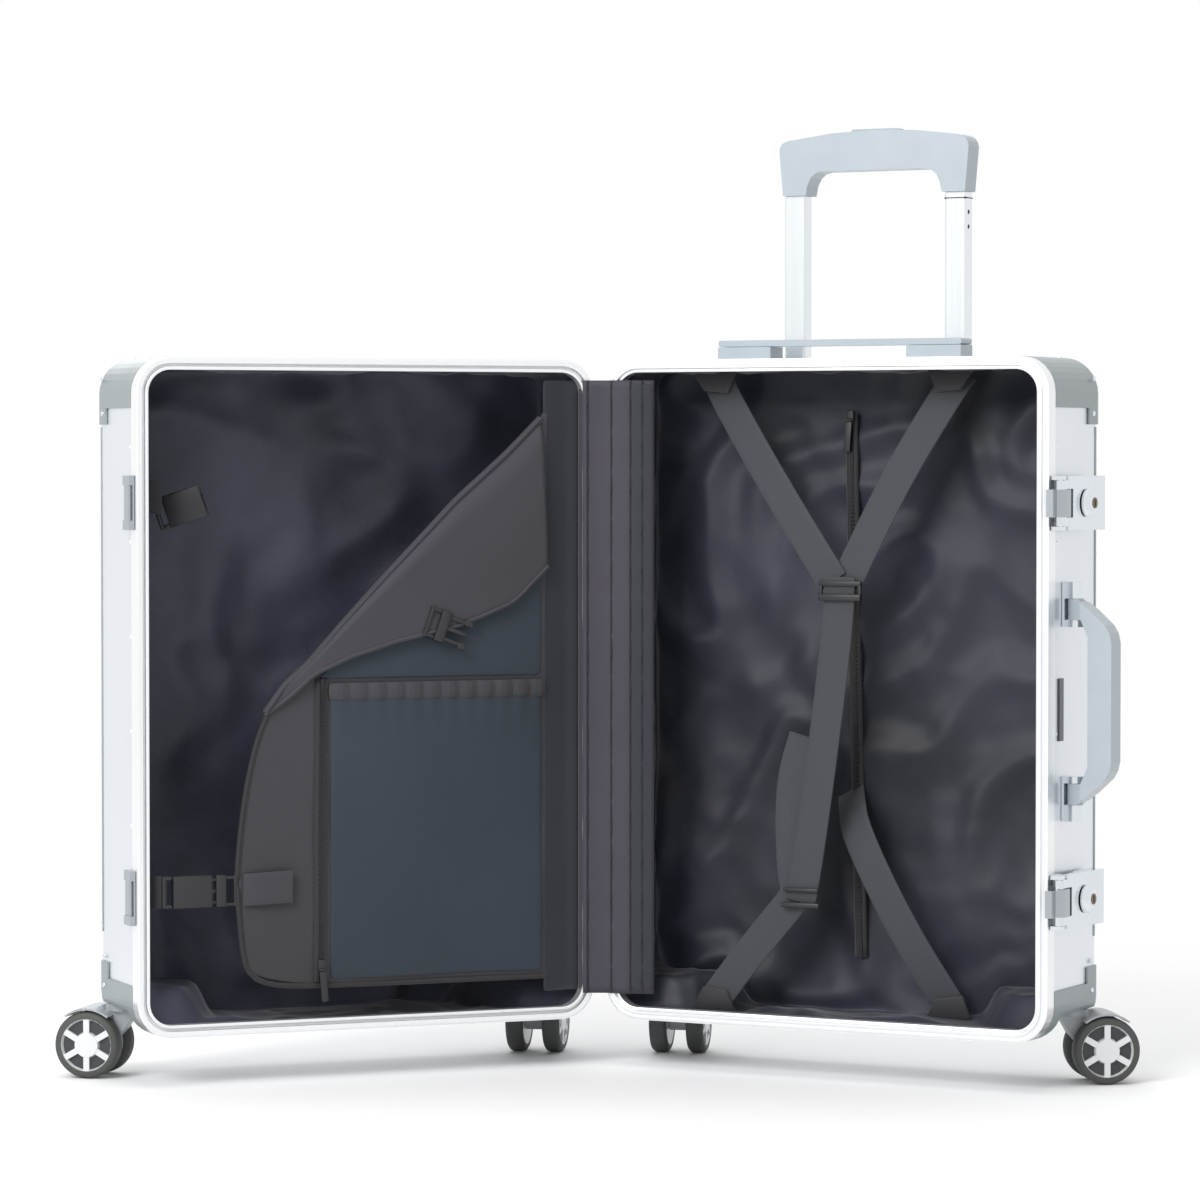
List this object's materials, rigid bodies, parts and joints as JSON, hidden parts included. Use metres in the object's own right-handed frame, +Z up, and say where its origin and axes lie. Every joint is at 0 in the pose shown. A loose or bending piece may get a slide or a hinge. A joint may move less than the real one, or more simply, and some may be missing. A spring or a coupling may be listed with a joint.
{
  "type": "aluminium spinner suitcase",
  "caption": "Aluminium-framed cabin case standing open like a book, with hinged half shells, draw latches, trolley, carry handles, divider, straps and twin-wheel casters.",
  "frame": {"origin": "middle of the footprint, on the floor plane the wheels stand on, with the case opened like a book", "axes": "+Z up; +X from the lid half to the base half; both openings face -Y; the hinge pin is vertical, in the plane X = 0"},
  "size_m": [0.8112, 0.277, 0.7147],
  "materials": {
    "shell": "satin anodised sheet",
    "frame": "bright anodised extrusion",
    "guard": "satin grey paint",
    "handle": "blue-grey moulded",
    "chrome": "polished plate",
    "steel": "zinc plated",
    "wheel": "light grey hub with dark tyre",
    "cloth": "woven polyester",
    "web": "flat webbing",
    "seal": "matt black"
  },
  "bodies": {
    "base": {"base_shell": "shell", "base_frame": "frame", "base_lining": "cloth", "base_guard_top_outer": "guard", "base_guard_top_hinge": "guard", "base_caster_housing_outer": "guard", "base_caster_housing_hinge": "guard", "hinge_leaf_base": "frame", "hinge_pin": "steel", "name_plate": "seal", "cross_strap": "web", "spine_gusset": "cloth", "latch_base_upper": "chrome", "latch_base_lower": "chrome", "side_handle_bracket_upper": "chrome", "side_handle_bracket_lower": "chrome", "top_handle_mount_left": "handle", "top_handle_mount_right": "handle", "trolley_foot": "guard", "trolley_bezel": "handle", "trolley_sleeve_left": "frame", "trolley_sleeve_right": "frame"},
    "lid": {"lid_shell": "shell", "lid_frame": "frame", "lid_seal": "seal", "lid_lining": "cloth", "lid_guard_top_outer": "guard", "lid_guard_top_hinge": "guard", "lid_caster_housing_outer": "guard", "lid_caster_housing_hinge": "guard", "hinge_leaf_lid": "frame", "keeper_upper": "chrome", "keeper_lower": "chrome"},
    "divider": {"divider_panel": "cloth"},
    "side_handle": {"side_handle": "handle"},
    "top_handle": {"top_handle": "handle"},
    "trolley_stage": {"trolley_stage_left": "frame", "trolley_stage_right": "frame"},
    "trolley_grip": {"trolley_tip_left": "frame", "trolley_tip_right": "frame", "trolley_grip": "handle"},
    "trolley_button": {"trolley_button": "handle"},
    "latch_lever_upper": {"latch_lever_upper": "chrome"},
    "latch_claw_upper": {"latch_claw_upper": "steel"},
    "lock_knob_upper": {"lock_knob_upper": "chrome"},
    "latch_lever_lower": {"latch_lever_lower": "chrome"},
    "latch_claw_lower": {"latch_claw_lower": "steel"},
    "lock_knob_lower": {"lock_knob_lower": "chrome"},
    "base_caster_outer": {"base_caster_outer_fork": "guard"},
    "base_caster_outer_wheel_near": {"base_caster_outer_wheel_near": "wheel"},
    "base_caster_outer_wheel_far": {"base_caster_outer_wheel_far": "wheel"},
    "base_caster_hinge": {"base_caster_hinge_fork": "guard"},
    "base_caster_hinge_wheel_near": {"base_caster_hinge_wheel_near": "wheel"},
    "base_caster_hinge_wheel_far": {"base_caster_hinge_wheel_far": "wheel"},
    "lid_caster_outer": {"lid_caster_outer_fork": "guard"},
    "lid_caster_outer_wheel_near": {"lid_caster_outer_wheel_near": "wheel"},
    "lid_caster_outer_wheel_far": {"lid_caster_outer_wheel_far": "wheel"},
    "lid_caster_hinge": {"lid_caster_hinge_fork": "guard"},
    "lid_caster_hinge_wheel_near": {"lid_caster_hinge_wheel_near": "wheel"},
    "lid_caster_hinge_wheel_far": {"lid_caster_hinge_wheel_far": "wheel"}
  },
  "joints": [
    {"name": "lid_hinge", "type": "hinge", "parent": "base", "child": "lid", "pos_m": [0, 0.0295, 0.288], "axis": [0, 0, 1], "range_deg": [-35, 130]},
    {"name": "divider_hinge", "type": "hinge", "parent": "lid", "child": "divider", "pos_m": [-0.01788, 0.02999, 0.288], "axis": [0, 0, -1], "range_deg": [-90, 0]},
    {"name": "side_handle_fold", "type": "hinge", "parent": "base", "child": "side_handle", "pos_m": [0.35516, -0.09618, 0.2862], "axis": [0, 0, 1], "range_deg": [0, 78]},
    {"name": "top_handle_lift", "type": "slide", "parent": "base", "child": "top_handle", "axis": [0, 0, 1], "range_m": [0, 0.006]},
    {"name": "trolley_stage_slide", "type": "slide", "parent": "base", "child": "trolley_stage", "axis": [0, 0, 1], "range_m": [-0.124, 0.13]},
    {"name": "trolley_grip_slide", "type": "slide", "parent": "trolley_stage", "child": "trolley_grip", "axis": [0, 0, 1], "range_m": [0, 0.21]},
    {"name": "trolley_button_press", "type": "slide", "parent": "trolley_grip", "child": "trolley_button", "axis": [0, 0, -1], "range_m": [0, 0.003], "stiffness_N_per_m": 800},
    {"name": "latch_lever_upper_swing", "type": "hinge", "parent": "base", "child": "latch_lever_upper", "pos_m": [0.34216, -0.12288, 0.432], "axis": [0, 0, -1], "range_deg": [0, 105]},
    {"name": "latch_claw_upper_swing", "type": "hinge", "parent": "latch_lever_upper", "child": "latch_claw_upper", "pos_m": [0.34596, -0.11472, 0.432], "axis": [0, 0, 1], "range_deg": [0, 105]},
    {"name": "lock_knob_upper_turn", "type": "hinge", "parent": "latch_lever_upper", "child": "lock_knob_upper", "pos_m": [0.3632, -0.08911, 0.432], "axis": [0.8771, -0.4802, 0], "range_deg": [0, 90]},
    {"name": "latch_lever_lower_swing", "type": "hinge", "parent": "base", "child": "latch_lever_lower", "pos_m": [0.34216, -0.12288, 0.1405], "axis": [0, 0, -1], "range_deg": [0, 105]},
    {"name": "latch_claw_lower_swing", "type": "hinge", "parent": "latch_lever_lower", "child": "latch_claw_lower", "pos_m": [0.34596, -0.11472, 0.1405], "axis": [0, 0, 1], "range_deg": [0, 105]},
    {"name": "lock_knob_lower_turn", "type": "hinge", "parent": "latch_lever_lower", "child": "lock_knob_lower", "pos_m": [0.3632, -0.08911, 0.1405], "axis": [0.8771, -0.4802, 0], "range_deg": [0, 90]},
    {"name": "base_caster_outer_swivel", "type": "hinge", "parent": "base", "child": "base_caster_outer", "pos_m": [0.35606, -0.05047, 0], "axis": [0, 0, 1], "continuous": true},
    {"name": "base_caster_outer_wheel_near_roll", "type": "hinge", "parent": "base_caster_outer", "child": "base_caster_outer_wheel_near", "pos_m": [0.37773, -0.04665, 0.025], "axis": [-0.1736, 0.9848, 0], "continuous": true},
    {"name": "base_caster_outer_wheel_far_roll", "type": "hinge", "parent": "base_caster_outer", "child": "base_caster_outer_wheel_far", "pos_m": [0.37773, -0.04665, 0.025], "axis": [-0.1736, 0.9848, 0], "continuous": true},
    {"name": "base_caster_hinge_swivel", "type": "hinge", "parent": "base", "child": "base_caster_hinge", "pos_m": [0.05607, 0.08941, 0], "axis": [0, 0, 1], "continuous": true},
    {"name": "base_caster_hinge_wheel_near_roll", "type": "hinge", "parent": "base_caster_hinge", "child": "base_caster_hinge_wheel_near", "pos_m": [0.05914, 0.1112, 0.025], "axis": [-0.9903, 0.1392, 0], "continuous": true},
    {"name": "base_caster_hinge_wheel_far_roll", "type": "hinge", "parent": "base_caster_hinge", "child": "base_caster_hinge_wheel_far", "pos_m": [0.05914, 0.1112, 0.025], "axis": [-0.9903, 0.1392, 0], "continuous": true},
    {"name": "lid_caster_outer_swivel", "type": "hinge", "parent": "lid", "child": "lid_caster_outer", "pos_m": [-0.35606, -0.05047, 0], "axis": [0, 0, 1], "continuous": true},
    {"name": "lid_caster_outer_wheel_near_roll", "type": "hinge", "parent": "lid_caster_outer", "child": "lid_caster_outer_wheel_near", "pos_m": [-0.37773, -0.04665, 0.025], "axis": [0.1736, 0.9848, 0], "continuous": true},
    {"name": "lid_caster_outer_wheel_far_roll", "type": "hinge", "parent": "lid_caster_outer", "child": "lid_caster_outer_wheel_far", "pos_m": [-0.37773, -0.04665, 0.025], "axis": [0.1736, 0.9848, 0], "continuous": true},
    {"name": "lid_caster_hinge_swivel", "type": "hinge", "parent": "lid", "child": "lid_caster_hinge", "pos_m": [-0.05607, 0.08941, 0], "axis": [0, 0, 1], "continuous": true},
    {"name": "lid_caster_hinge_wheel_near_roll", "type": "hinge", "parent": "lid_caster_hinge", "child": "lid_caster_hinge_wheel_near", "pos_m": [-0.05301, 0.1112, 0.025], "axis": [0.9903, -0.1392, 0], "continuous": true},
    {"name": "lid_caster_hinge_wheel_far_roll", "type": "hinge", "parent": "lid_caster_hinge", "child": "lid_caster_hinge_wheel_far", "pos_m": [-0.05301, 0.1112, 0.025], "axis": [0.9903, -0.1392, 0], "continuous": true}
  ],
  "couplings": [
    {"joint": "latch_claw_upper_swing", "follows": "latch_lever_upper_swing", "ratio": 1},
    {"joint": "latch_claw_lower_swing", "follows": "latch_lever_lower_swing", "ratio": 1}
  ]
}
